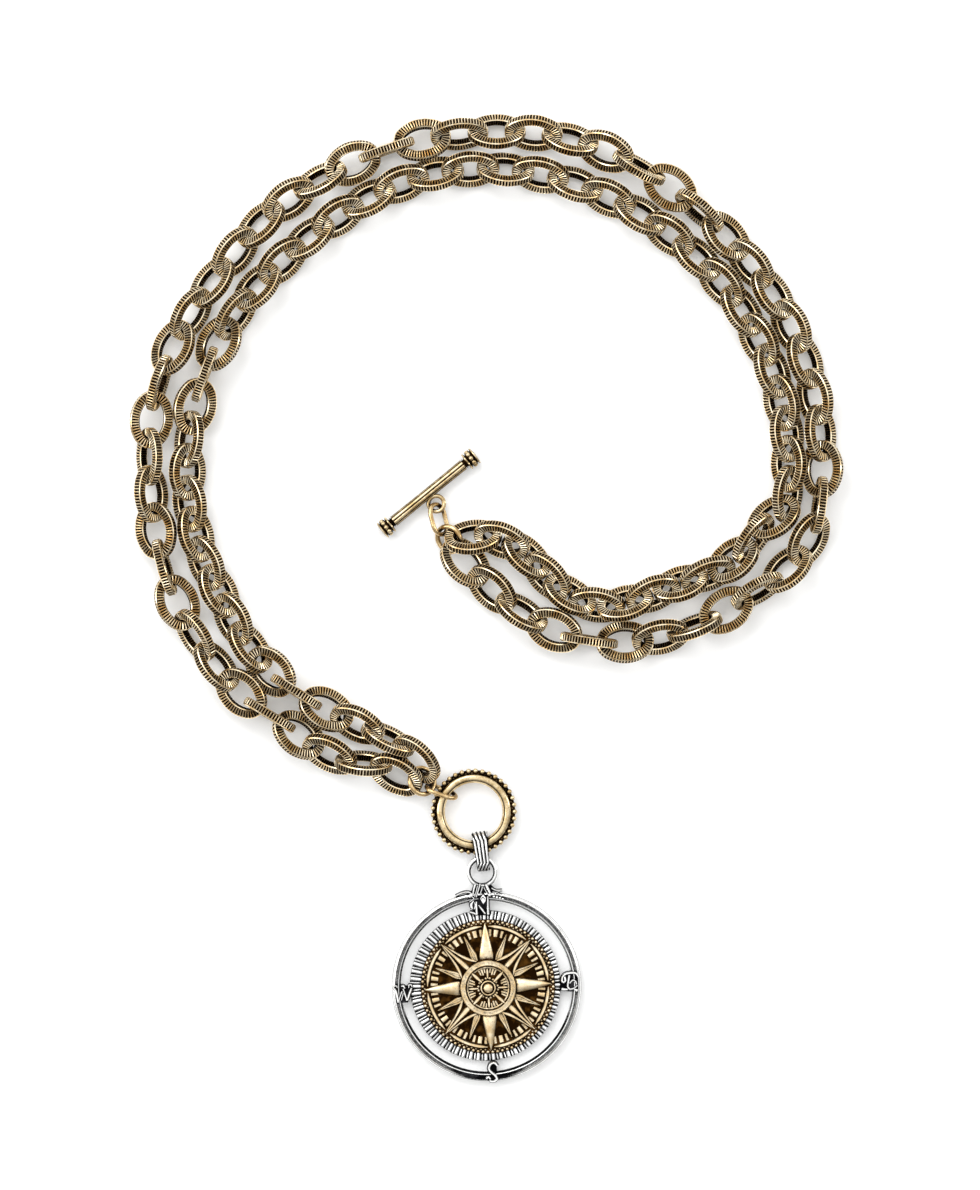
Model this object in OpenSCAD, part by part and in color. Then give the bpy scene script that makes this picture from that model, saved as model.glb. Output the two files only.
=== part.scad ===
// Compass pendant on a two-strand chain with a toggle clasp, laid open on a flat surface.
// Millimetres. The origin lies on the disc's flat back at the middle of the compass, +Y runs up
// the pendant to its loop and on to the chain, and +Z points out of the pendant's face.

/* [Pendant] */
// Outer diameter of the open ring
ring_d = 41.6; // [40:0.2:44]
// Width of the open ring's band
ring_w = 2.1; // [1.8:0.1:2.4]
// Height of the open ring's band
ring_t = 1.7; // [1.4:0.1:2.2]
// Height of the open ring's underside above the disc's back
ring_lift = 1; // [0.9:0.05:1.2]
// Diameter of the fluted disc
disc_d = 33.4; // [32.6:0.2:34.6]
// Thickness of the disc
disc_t = 1.5; // [1.2:0.1:1.8]
// Number of flutes round the disc
flutes = 60; // [48:2:66]
// Thickness of one flute
flute_w = 0.95; // [0.8:0.05:1.1]
// Length of one flute, from the disc's edge inwards
flute_l = 3; // [2.6:0.1:3.4]
// How far a letter reaches into the disc's rim and the open ring
letter_bite = 0.95; // [0.7:0.05:1.2]
// Width of a letter's stroke
stroke_w = 0.75; // [0.6:0.05:0.9]
// Turn of the letters and the rays about the disc's axis
compass_turn = 3.5; // [0:0.5:6]
// Outer diameter of the top loop
loop_d = 7.1; // [6.6:0.1:7.4]
// Wire diameter of the top loop
loop_wire = 1; // [0.8:0.1:1.1]

/* [Medallion] */
// Diameter of the gold medallion
plate_d = 29.5; // [29:0.1:30]
// Thickness of the medallion's plate
plate_t = 0.6; // [0.5:0.1:0.8]
// Width of the raised rim
rim_w = 0.6; // [0.5:0.05:0.8]
// Height of the raised rim above the plate
rim_h = 0.6; // [0.4:0.1:0.8]
// Width of the arc segments
arc_w = 0.75; // [0.6:0.05:0.9]
// Number of dentil places, a ray in the first of each sixteenth
dentils = 64; // [48:16:80]
// Gap between the arc segments and the dentils
dentil_gap = 0.35; // [0.2:0.05:0.5]
// Length of a dentil along the radius
dentil_l = 1.5; // [1.2:0.1:1.8]
// Width of a dentil
dentil_w = 0.75; // [0.6:0.05:0.85]

/* [Compass rose] */
// Gap between a long ray's tip and the medallion's rim
ray_gap = 0.25; // [0.15:0.05:0.5]
// Half width of a cardinal ray where it leaves the hub
cardinal_half = 1.55; // [1.3:0.05:1.7]
// Half width of a diagonal ray where it leaves the hub
diagonal_half = 2.3; // [1.8:0.1:2.4]
// How far a short ray's tip stays behind a long one's
short_by = 1.8; // [1.4:0.1:2.4]
// Half width of a short ray
short_half = 0.95; // [0.7:0.05:1.1]
// Height of the rays at the hub
ray_h = 0.95; // [0.7:0.05:1.2]
// Outer diameter of the hub's ring
hub_d = 12.2; // [11.8:0.1:12.6]
// Width of the hub's ring
hub_w = 1.2; // [1:0.1:1.4]
// Height of the hub's ring
hub_h = 1.4; // [1.2:0.1:1.7]
// Diameter of the boss in the hub
boss_d = 3.4; // [3:0.1:3.6]
// Width of the diagonal spokes
spoke_w = 0.6; // [0.45:0.05:0.7]
// Diameter of the rivet's dome
rivet_d = 2.2; // [2:0.1:2.6]

/* [Bail] */
// Length of the bail along the pendant's axis
bail_l = 9.2; // [9.1:0.1:10]
// Width of the bail
bail_w = 3.5; // [3:0.1:3.7]
// Thickness of the bail's band
bail_t = 0.85; // [0.7:0.05:0.85]
// Number of ridges along the bail
bail_ridges = 5; // [3:1:6]

/* [Toggle] */
// Diameter of the toggle ring's eye
eye_d = 12.7; // [12.6:0.1:13.4]
// Width of the toggle ring's smooth band
band_w = 1.7; // [1.4:0.05:1.75]
// Thickness of the toggle ring
band_t = 1.9; // [1.7:0.05:1.9]
// Diameter of a bead on the toggle ring
bead_d = 1.2; // [1:0.05:1.25]
// Number of beads round the toggle ring
beads = 37; // [30:1:38]
// Length of the toggle bar
bar_l = 26.6; // [24:0.2:30]
// Diameter of the toggle bar's shaft
shaft_d = 2.1; // [1.8:0.1:2.4]
// Diameter of the toggle bar's caps
cap_d = 4; // [3.6:0.1:4.4]
// Length of the toggle bar's caps
cap_l = 2.4; // [2:0.1:3]
// Outer diameter of the loop soldered on the bar
bar_loop_d = 4.4; // [4.2:0.1:4.6]
// Wire diameter of the loop soldered on the bar
bar_loop_wire = 0.95; // [0.8:0.05:1]

/* [Rings] */
// Outer diameter of the round jump rings
jump_d = 7; // [6.9:0.05:7.1]
// Wire diameter of the round jump rings
jump_wire = 1.1; // [0.9:0.05:1.1]
// Length of the oval links
oval_l = 7.8; // [7.7:0.05:8]
// Width of the oval links
oval_w = 5.4; // [5.3:0.05:5.6]
// Wire diameter of the oval links
oval_wire = 1; // [0.8:0.05:1]

/* [Chain] */
// Length of a chain link
link_l = 12.65; // [12.5:0.05:12.7]
// Width of a chain link
link_w = 9.4; // [9.2:0.1:9.5]
// Width of the links' wire in the link's plane
wire_w = 1.9; // [1.6:0.05:1.9]
// Thickness of the links' wire
wire_t = 1.7; // [1.5:0.05:1.7]
// Bevel along the edges of the links' wire
wire_edge = 0.35; // [0.3:0.05:0.4]

/* [Hidden] */

silver = [0.78, 0.78, 0.76];
gold = [0.80, 0.66, 0.42];
seat = 0.05;
clear = 0.15;

// The pieces were seated by hand, each a little beside the compass's middle
disc_at = [-0.5, 0.3];
ring_at = [-0.4, -0.1];
medal_at = [0.1, 0.1];
hub_shift = [0.05, -0.3];

gap_in = disc_d / 2;
gap_out = ring_d / 2 - ring_w;
letter_size = gap_out - gap_in + 2 * letter_bite;
letter_r = (gap_in + gap_out) / 2;
letter_t = ring_t + 0.1;
plate_z = disc_t + seat;
face_z = plate_z + plate_t;
rose_z = face_z + seat;
boss_h = 0.8 * hub_h;
rim_in = plate_d / 2 - rim_w;
long_ray = rim_in - ray_gap;
short_ray = long_ray - short_by;

loop_at = [-1.25, 25.4];
loop_z = ring_lift + ring_t / 2;
toggle_z = bail_t + 0.6;
bail_at = [-1.3, 29.9];
bail_turn = 7;
bail_top = toggle_z + band_t + clear;

ring_center = [-3.05, 38.65, toggle_z + band_t / 2];
band_out = eye_d / 2 + band_w;
bead_r = band_out + 0.82 * bead_d;
bar_center = [-12.9, 108.5, cap_d / 2];
bar_turn = 38.4;
bar_loop_r = (bar_loop_d - bar_loop_wire) / 2;
bar_loop_y = -(shaft_d / 2 + bar_loop_d / 2 - 0.65);

// Small rings: centre, and turns about X, Y and Z. Those at the toggle ring hang out from its band
function off_band(out, angle, z) = [ring_center[0] + (band_out + out) * cos(angle),
    ring_center[1] + (band_out + out) * sin(angle), z];
ring_jump_at = off_band(5.15, 149.3, 3.05);
ring_jump_turn = [30, 0, 119];
ring_link_at = off_band(0.34, 148.4, 2.6);
ring_link_turn = [-73.5, 0, -20];
bar_jump_at = [-8.45, 98.65, 2.6];
bar_jump_turn = [36.5, 0, -57];
bar_link_at = [-10.75, 103, 2.35];
bar_link_turn = [-48, -2.5, -75.5];

bend_r = (link_w - wire_w) / 2;

// The strands' routes as the necklace lies, from the ring's end to the bar's end.
// Each row: joint number, x, y, twist in degrees, extra height of the joint
outer_route = [
    [0, ring_jump_at[0] - 2.4, ring_jump_at[1] - 0.7, 186, -0.35], [1, -23.4, 49.0, 186, 0],
    [2, -31.1, 49.6, 200, 0], [3, -38.4, 53.1, 180, 0], [4, -44.6, 58.0, 160, 0], [5, -51.2, 62.0, 138, 0],
    [6, -57.1, 67.5, 115, 0], [8, -66.6, 80.9, 78, 0], [10, -72.2, 96.4, 38, 0],
    [12, -74.3, 112.7, 5, 0], [14, -73.4, 129.0, -35, 0], [16, -67.4, 144.7, -75, 0],
    [18, -58.1, 158.5, -90, 0], [20, -47.0, 171.0, -90, 0], [22, -33.3, 179.6, -100, 0],
    [24, -18.4, 185.6, -135, 0], [26, -2.1, 188.2, -170, 0], [28, 14.2, 187.6, -180, 0],
    [30, 29.8, 182.4, -190, 0], [32, 43.5, 173.5, -225, 0], [34, 55.3, 162.3, -260, 0],
    [36, 65.0, 149.2, -270, 0], [38, 71.2, 133.9, -270, 0], [40, 73.6, 118.0, -275, 0],
    [42, 72.4, 102.2, -322, 0], [43, 68.9, 94.9, -355, 0], [44, 63.0, 89.3, -362, 0],
    [45, 55.8, 85.2, -380, 0], [46, 49.2, 80.8, -402, 0], [48, 34.2, 76.2, -450, 0],
    [50, 18.4, 77.0, -498, 0], [52, 3.9, 84.8, -530, 0], [53, -2.0, 90.45, -536, 0],
    [54, -7.75, 96.55, -556, -0.2]];
inner_route = [
    [0, ring_jump_at[0] + 1.25, ring_jump_at[1] + 2.15, 179, 0.35], [1, -18.4, 53.0, 179, 0],
    [2, -25.3, 56.4, 200, 0],
    [3, -32.0, 59.5, 180, 0], [4, -38.9, 63.0, 160, 0], [5, -45.2, 67.0, 138, 0],
    [6, -50.2, 72.0, 115, 0], [7, -54.4, 77.8, 95, 0], [8, -57.6, 84.2, 90, 0],
    [10, -63.3, 96.4, 90, 0], [12, -66.0, 109.9, 90, 0], [14, -65.2, 124.2, 80, 0],
    [16, -60.9, 138.4, 45, 0], [18, -53.2, 151.2, 10, 0], [20, -42.3, 162.5, 0, 0],
    [22, -29.6, 171.7, 0, 0], [24, -15.3, 178.2, 0, 0], [26, 0.1, 180.3, 0, 0],
    [28, 15.5, 178.0, 0, 0], [30, 30.2, 172.1, 0, 0], [32, 43.2, 163.3, 0, 0],
    [34, 54.0, 152.1, 0, 0], [36, 61.4, 139.2, 0, 0], [37, 63.9, 132.1, 0, 0],
    [38, 65.5, 125.2, 0, 0], [39, 66.2, 118.5, 0, 0], [40, 66.4, 111.9, 0, 0],
    [41, 65.6, 105.3, -8, 0], [42, 60.4, 101.4, -10, 0], [43, 56.6, 96.1, -15, 0],
    [44, 51.5, 92.0, -10, 0], [45, 45.5, 89.8, -5, 0], [46, 39.4, 87.8, 0, 0],
    [47, 33.4, 85.4, 0, 0], [48, 27.2, 83.7, 0, 0], [49, 20.8, 84.7, 0, 0],
    [50, 15.3, 88.1, 0, 0], [51, 10.9, 92.8, 0, 0], [52, 6.2, 97.2, 0, 0],
    [53, 0.2, 99.6, 0, 0], [54, -6.45, 98.55, 0, 0.75]];

function last_joint(route) = route[len(route) - 1][0];
function row_of(route, k, i = 0) =
    i + 2 < len(route) && route[i + 1][0] <= k ? row_of(route, k, i + 1) : i;
function slope(route, i) =
    let(a = route[max(i - 1, 0)], b = route[min(i + 1, len(route) - 1)]) (b - a) / (b[0] - a[0]);

// A smooth curve through the rows, read at a joint's number
function on_route(route, k) =
    let(i = row_of(route, k), a = route[i], b = route[i + 1], h = b[0] - a[0], u = (k - a[0]) / h)
    (2 * u ^ 3 - 3 * u ^ 2 + 1) * a + (3 * u ^ 2 - 2 * u ^ 3) * b
    + h * ((u ^ 3 - 2 * u ^ 2 + u) * slope(route, i) + (u ^ 3 - u ^ 2) * slope(route, i + 1));

// Neighbouring links stand at right angles, and the strand's twist turns both
function roll(route, k) = (k % 2 == 0 ? 45 : -45) + on_route(route, k)[3];

// Height of a link's centre when the link's lowest edge touches the surface
function rest_height(route, k) =
    let(j = min(max(k, 1), last_joint(route)), s = abs(sin(roll(route, j))), c = abs(cos(roll(route, j))))
    max(link_w / 2 * s + (wire_t / 2 - wire_edge) * c, (link_w / 2 - wire_edge) * s + wire_t / 2 * c);
function joint(route, k) =
    let(p = on_route(route, k))
    [p[1], p[2], max(rest_height(route, k), rest_height(route, k + 1)) + p[4]];

// Bevelled wire section, its centre r out from the turning axis
module wire_section(r) {
    hw = wire_w / 2;
    ht = wire_t / 2;
    e = wire_edge;
    translate([r, 0]) polygon([[hw, ht - e], [hw - e, ht], [e - hw, ht], [-hw, ht - e],
        [-hw, e - ht], [e - hw, -ht], [hw - e, -ht], [hw, e - ht]]);
}

// One chain link, flat in the XY plane with its length along X
module chain_link() {
    straight = link_l - link_w;
    for (side = [0, 180]) rotate([0, 0, side]) {
        translate([straight / 2, 0, 0]) rotate([0, 0, -90])
            rotate_extrude(angle = 180, $fn = 48) wire_section(bend_r);
        rotate([90, 0, -90]) linear_extrude(straight, center = true) wire_section(bend_r);
    }
}

module strand(route) {
    for (k = [1 : last_joint(route)]) {
        a = joint(route, k - 1);
        b = joint(route, k);
        d = b - a;
        translate((a + b) / 2)
            rotate([roll(route, k), -atan2(d[2], norm([d[0], d[1]])), atan2(d[1], d[0])]) chain_link();
    }
}

module wire_ring(d, wire) {
    rotate_extrude($fn = 72) translate([(d - wire) / 2, 0]) circle(d = wire, $fn = 24);
}

// Round wire bent to a stretched ring, flat in the XY plane with its length along X
module oval_ring(l, w, wire) {
    r = (w - wire) / 2;
    for (side = [0, 180]) rotate([0, 0, side]) {
        translate([(l - w) / 2, 0, 0]) rotate([0, 0, -90])
            rotate_extrude(angle = 180, $fn = 48) translate([r, 0]) circle(d = wire, $fn = 24);
        translate([0, r, 0]) rotate([0, 90, 0]) cylinder(h = l - w, d = wire, center = true, $fn = 24);
    }
}

// Bar between two points of a letter's square, whose side is 1
module stroke(a, b) {
    p = a * letter_size;
    d = (b - a) * letter_size;
    translate([p[0], p[1], 0]) rotate([0, 0, atan2(d[1], d[0])])
        translate([-stroke_w / 4, -stroke_w / 2, 0]) cube([norm(d) + stroke_w / 2, stroke_w, letter_t]);
}

// A path of strokes through shares of the letter's square
module path(points) {
    for (i = [0 : len(points) - 2]) stroke(points[i], points[i + 1]);
}

module letter_n() {
    path([[-0.36, -0.5], [-0.36, 0.45]]);
    path([[-0.33, 0.4], [0.33, -0.4]]);
    path([[0.36, -0.42], [0.36, 0.5]]);
}

module letter_e() {
    path([[0.36, 0.22], [0.3, 0.42], [-0.4, 0.42]]);
    path([[-0.16, 0.42], [-0.16, -0.42]]);
    path([[-0.16, 0], [0.2, 0]]);
    path([[-0.4, -0.42], [0.3, -0.42], [0.38, -0.22]]);
}

module letter_s() {
    path([[0.3, 0.26], [0.14, 0.43], [-0.14, 0.43], [-0.27, 0.25], [-0.2, 0.08], [0.2, -0.12],
        [0.28, -0.28], [0.13, -0.43], [-0.16, -0.43], [-0.32, -0.28]]);
}

module letter_w() {
    path([[-0.44, 0.4], [-0.2, -0.42], [0.02, 0.38], [0.22, -0.42], [0.42, 0.4]]);
}

module at_bearing(angle, out) {
    rotate([0, 0, compass_turn]) translate([out * cos(angle), out * sin(angle), ring_lift]) children();
}

// Ring with two raised ridges and a groove between them
module open_ring() {
    r = ring_d / 2;
    low = ring_t - 0.55;
    translate([ring_at[0], ring_at[1], ring_lift]) rotate_extrude($fn = 120)
        polygon([[r - ring_w, 0.2], [r - ring_w + 0.2, 0], [r - 0.2, 0], [r, 0.2], [r, low],
            [r - 0.25, ring_t], [r - 0.75, ring_t], [r - 0.95, low], [r - ring_w + 0.5, low],
            [r - ring_w + 0.4, ring_t - 0.15], [r - ring_w + 0.1, ring_t - 0.15], [r - ring_w, low]]);
}

module fluted_disc() {
    translate([disc_at[0], disc_at[1], 0]) {
        cylinder(h = disc_t, r = gap_in - 0.3, $fn = 120);
        for (i = [0 : flutes - 1]) rotate([0, 0, 360 / flutes * i])
            translate([gap_in - flute_l, 0, disc_t]) rotate([0, 90, 0]) cylinder(h = flute_l, d = flute_w, $fn = 16);
    }
}

// Flat seat for the medallion, cut down to the disc's face
module medallion_seat() {
    translate([medal_at[0], medal_at[1], disc_t]) cylinder(h = 2 * ring_t, r = plate_d / 2 + clear, $fn = 120);
}

// Stem between the ring and the loop, with a kite, two scrolls and a row of small beads
module crown() {
    top = ring_d / 2;
    z = ring_lift + 0.1;
    translate([loop_at[0] - 1.1, top - 1, z]) cube([2.2, loop_at[1] - loop_d / 2 + 1.5 - top, ring_t - 0.3]);
    for (side = [-1, 1]) translate([loop_at[0] + side * 1.55, top + 0.1, z])
        rotate([0, 0, side * 24]) translate([-0.45, -1.1, 0]) cube([0.9, 2.5, ring_t - 0.3]);
    translate([loop_at[0], top - 1.7, ring_lift]) linear_extrude(ring_t + 0.3)
        polygon([[0, 1.2], [0.85, 0.35], [0.3, -1.3], [-0.2, -1.3], [-0.75, 0.35]]);
    translate([loop_at[0] - 3.2, top - 0.55, ring_lift]) rotate_extrude($fn = 40)
        translate([0.65, ring_t]) circle(d = 0.7, $fn = 16);
    for (i = [0 : 3]) translate([loop_at[0] + 2.6 + 0.65 * i, top - 0.35 - 0.1 * i, ring_lift + ring_t])
        sphere(d = 0.75, $fn = 24);
}

module pendant_frame() {
    color(silver) difference() {
        union() {
            fluted_disc();
            open_ring();
            translate([loop_at[0], loop_at[1], loop_z]) wire_ring(loop_d, loop_wire);
            crown();
            at_bearing(90, letter_r + 0.05) letter_n();
            at_bearing(0, letter_r + 0.45) letter_e();
            at_bearing(270, letter_r + 0.8) letter_s();
            at_bearing(180, letter_r + 0.8) letter_w();
        }
        medallion_seat();
    }
}

// Turns copies through the eight bearings of the long rays
module eight(start = 0) {
    for (i = [0 : 7]) rotate([0, 0, start + 45 * i]) children();
}

module medallion() {
    arc_r = rim_in - seat - arc_w / 2;
    dentil_r = arc_r - arc_w / 2 - dentil_gap - dentil_l / 2;
    color(gold) translate([medal_at[0], medal_at[1], 0]) rotate([0, 0, compass_turn]) {
        translate([0, 0, plate_z]) cylinder(h = plate_t, d = plate_d, $fn = 120);
        translate([0, 0, face_z - 0.1]) rotate_extrude($fn = 120) translate([rim_in, 0])
            polygon([[0, 0], [rim_w, 0], [rim_w, rim_h * 0.7], [rim_w * 0.7, rim_h], [rim_w * 0.3, rim_h], [0, rim_h * 0.7]]);
        eight(4) translate([0, 0, face_z - 0.1]) rotate_extrude(angle = 37, $fn = 120)
            translate([arc_r - arc_w / 2, 0]) polygon([[0, 0], [arc_w, 0], [arc_w * 0.8, 0.5], [arc_w * 0.2, 0.5]]);
        for (i = [0 : dentils - 1]) if (i % (dentils / 16) != 0) rotate([0, 0, 360 / dentils * i])
            translate([dentil_r - dentil_l / 2, -dentil_w / 2, face_z - 0.1]) cube([dentil_l, dentil_w, 0.45]);
    }
}

// A ray along X: a ridge over a pointed outline, lofted through rows of
// distance, half width, height of the side and height of the ridge
module ray(rows) {
    n = len(rows);
    points = [for (s = rows)
        each [[s[0], -s[1], 0], [s[0], s[1], 0], [s[0], s[1], s[2]], [s[0], 0, s[3]], [s[0], -s[1], s[2]]]];
    walls = [for (i = [0 : n - 2], j = [0 : 4]) let(a = 5 * i + j, b = 5 * i + (j + 1) % 5)
        each [[a, a + 5, b], [b, a + 5, b + 5]]];
    ends = [[0, 1, 2, 3, 4], [for (j = [4 : -1 : 0]) 5 * (n - 1) + j]];
    polyhedron(points, concat(walls, ends));
}

module cardinal_ray() {
    start = hub_d / 2 - hub_w / 2;
    ray([[start, cardinal_half, 0.3, ray_h], [start + 2, cardinal_half, 0.3, ray_h],
        [long_ray, 0.12, 0.15, 0.35]]);
}

module diagonal_ray() {
    start = hub_d / 2 - hub_w / 2;
    reach = long_ray - start;
    ray([[start, diagonal_half, 0.25, ray_h], [start + 0.2 * reach, diagonal_half * 0.86, 0.25, ray_h * 0.95],
        [start + 0.42 * reach, diagonal_half * 0.45, 0.25, ray_h * 0.8],
        [start + 0.7 * reach, diagonal_half * 0.22, 0.2, ray_h * 0.6], [long_ray, 0.1, 0.15, 0.35]]);
}

module short_kite() {
    start = hub_d / 2 - hub_w / 2;
    ray([[start, short_half * 0.7, 0.2, ray_h * 0.6], [start + 2.2, short_half, 0.2, ray_h * 0.7],
        [short_ray, 0.1, 0.15, 0.3]]);
}

module compass_rose() {
    hub_r = hub_d / 2;
    color(gold) translate([medal_at[0], medal_at[1], rose_z]) {
        rotate([0, 0, compass_turn]) {
            for (i = [0 : 3]) rotate([0, 0, 90 * i]) {
                cardinal_ray();
                rotate([0, 0, 45]) diagonal_ray();
            }
            eight(22.5) short_kite();
        }
        translate([hub_shift[0], hub_shift[1], 0]) {
            rotate_extrude($fn = 96) translate([hub_r - hub_w, 0])
                polygon([[0, 0], [hub_w, 0], [hub_w, hub_h - 0.2], [hub_w - 0.2, hub_h], [0.2, hub_h], [0, hub_h - 0.2]]);
            cylinder(h = boss_h, d = boss_d, $fn = 48);
            for (i = [0 : 3]) rotate([0, 0, compass_turn + 45 * i]) spoke_pair(i % 2 == 0 ? 0.7 * spoke_w : spoke_w);
        }
    }
}

// Two opposite spokes across the boss to the hub's ring
module spoke_pair(wide) {
    reach = hub_d / 2 - hub_w / 2;
    translate([-reach, -wide / 2, 0]) cube([2 * reach, wide, 0.7 * boss_h]);
}

module center_rivet() {
    r = rivet_d / 2;
    h = 0.55 * r;
    ball = (r * r + h * h) / (2 * h);
    color(gold) translate([medal_at[0] + hub_shift[0], medal_at[1] + hub_shift[1], rose_z + boss_h + seat])
        rotate_extrude($fn = 48) intersection() {
            translate([0, h - ball]) circle(r = ball, $fn = 96);
            square([r, h]);
        }
}

// Flat ring with round ends, seen from the side, its length along X
module slot(l, h) {
    translate([-(l - h) / 2, -h / 2]) square([l - h, h]);
    for (side = [-1, 1]) translate([side * (l - h) / 2, 0]) circle(d = h, $fn = 48);
}

module bail() {
    ridge = bail_w / bail_ridges;
    color(silver) translate([bail_at[0], bail_at[1], bail_top / 2 + bail_t / 2]) rotate([90, 0, 90 + bail_turn])
        difference() {
            union() {
                linear_extrude(bail_w - 0.2, center = true) slot(bail_l - 0.3, bail_top + bail_t - 0.3);
                for (i = [0 : bail_ridges - 1]) translate([0, 0, (i - (bail_ridges - 1) / 2) * ridge])
                    linear_extrude(0.6 * ridge, center = true) slot(bail_l, bail_top + bail_t);
            }
            linear_extrude(2 * bail_w, center = true) slot(bail_l - 2 * bail_t, bail_top - bail_t);
        }
}

module toggle_ring() {
    r = eye_d / 2;
    half = band_t / 2;
    color(gold) translate(ring_center) {
        rotate_extrude($fn = 96) polygon([[r, -0.5 * half], [r + 0.35, -half], [band_out - 0.3, -half],
            [band_out, -0.6 * half], [band_out + 0.4 * bead_d, -0.35 * half], [band_out + 0.4 * bead_d, 0.35 * half],
            [band_out, 0.6 * half], [band_out - 0.3, half], [r + 0.35, half], [r, 0.5 * half]]);
        for (i = [0 : beads - 1]) rotate([0, 0, 360 / beads * i]) translate([bead_r, 0, 0]) sphere(d = bead_d, $fn = 24);
    }
}

// Half of the bar from its middle to its end, turned about the bar's axis
module bar_half() {
    s = shaft_d / 2;
    c = cap_d / 2;
    neck = bar_l / 2 - cap_l - 0.7;
    body = bar_l / 2 - cap_l;
    tip = bar_l / 2;
    rotate([0, 90, 0]) rotate_extrude($fn = 48) polygon([[0, 0], [s, 0], [s * 0.88, neck * 0.5], [s, neck],
        [s * 0.75, neck + 0.15], [s * 0.75, body], [c * 0.8, body], [c * 0.88, body + 0.4], [c * 0.7, body + 0.5],
        [c * 0.7, tip - 0.5], [c * 0.88, tip - 0.4], [c * 0.7, tip - 0.1], [0, tip]]);
    for (i = [0 : 9]) rotate([36 * i, 0, 0]) translate([tip - cap_l / 2, 0, c - 0.55]) sphere(d = 1.1, $fn = 24);
}

module toggle_bar() {
    color(gold) translate(bar_center) rotate([0, 0, bar_turn]) {
        for (side = [0, 180]) rotate([0, 0, side]) bar_half();
        translate([0, bar_loop_y, 0]) wire_ring(bar_loop_d, bar_loop_wire);
    }
}

module toggle_link() {
    color(gold) translate(bar_link_at) rotate(bar_link_turn) oval_ring(oval_l, oval_w, oval_wire);
}

module toggle_jump_ring() {
    color(gold) translate(bar_jump_at) rotate(bar_jump_turn) wire_ring(jump_d, jump_wire);
}

module ring_link() {
    color(gold) translate(ring_link_at) rotate(ring_link_turn) oval_ring(oval_l, oval_w, oval_wire);
}

module ring_jump_ring() {
    color(gold) translate(ring_jump_at) rotate(ring_jump_turn) wire_ring(jump_d, jump_wire);
}

module chain_outer() {
    color(gold) strand(outer_route);
}

module chain_inner() {
    color(gold) strand(inner_route);
}

pendant_frame();
medallion();
compass_rose();
center_rivet();
bail();
toggle_ring();
toggle_bar();
toggle_link();
toggle_jump_ring();
ring_link();
ring_jump_ring();
chain_outer();
chain_inner();
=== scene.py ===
import math

import bmesh
import bpy
import numpy as np
from mathutils import Matrix, Vector


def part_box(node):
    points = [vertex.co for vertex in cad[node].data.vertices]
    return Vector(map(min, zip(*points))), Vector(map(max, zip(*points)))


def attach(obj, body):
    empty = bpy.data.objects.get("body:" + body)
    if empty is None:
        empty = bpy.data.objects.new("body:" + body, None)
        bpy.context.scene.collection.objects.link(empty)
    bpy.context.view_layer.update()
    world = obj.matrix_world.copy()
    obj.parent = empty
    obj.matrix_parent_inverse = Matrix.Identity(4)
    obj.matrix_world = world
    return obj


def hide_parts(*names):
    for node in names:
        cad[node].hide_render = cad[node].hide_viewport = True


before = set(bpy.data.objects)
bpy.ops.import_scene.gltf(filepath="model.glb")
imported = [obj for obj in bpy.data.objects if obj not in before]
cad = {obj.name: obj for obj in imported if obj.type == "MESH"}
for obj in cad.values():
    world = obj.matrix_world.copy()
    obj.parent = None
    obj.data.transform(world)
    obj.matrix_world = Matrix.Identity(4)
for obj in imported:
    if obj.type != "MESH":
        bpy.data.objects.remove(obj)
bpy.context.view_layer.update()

MM = 0.001
# A pixel of the photograph in millimetres, the picture's size in pixels, and its pixel at the frame's origin
PHOTO_MM = 0.22
PHOTO_WIDE, PHOTO_HIGH = 980, 1190
ORIGIN_X, ORIGIN_Y = 487.5, 987.5


# Colours and materials

def linear(hex_colour):
    """An sRGB hex colour as Blender's linear one."""
    parts = [int(hex_colour[i:i + 2], 16) / 255 for i in (1, 3, 5)]
    return tuple(c / 12.92 if c <= 0.04045 else ((c + 0.055) / 1.055) ** 2.4 for c in parts) + (1.0,)


def add(tree, kind, links=None, values=None, **settings):
    """Adds a node, sets its properties and its sockets' values, and links its inputs."""
    node = tree.nodes.new(kind)
    for name, value in settings.items():
        setattr(node, name, value)
    for socket, value in (values or {}).items():
        node.inputs[socket].default_value = value
    for socket, source in (links or {}).items():
        tree.links.new(source, node.inputs[socket])
    return node


def ramp(tree, source, stops):
    """A colour ramp through stops of (place, hex colour or grey level)."""
    node = add(tree, "ShaderNodeValToRGB", {"Fac": source})
    bar = node.color_ramp
    while len(bar.elements) < len(stops):
        bar.elements.new(0.5)
    for element, (place, colour) in zip(bar.elements, stops):
        element.position = place
        element.color = linear(colour) if isinstance(colour, str) else (colour, colour, colour, 1)
    return node.outputs["Color"]


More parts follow.
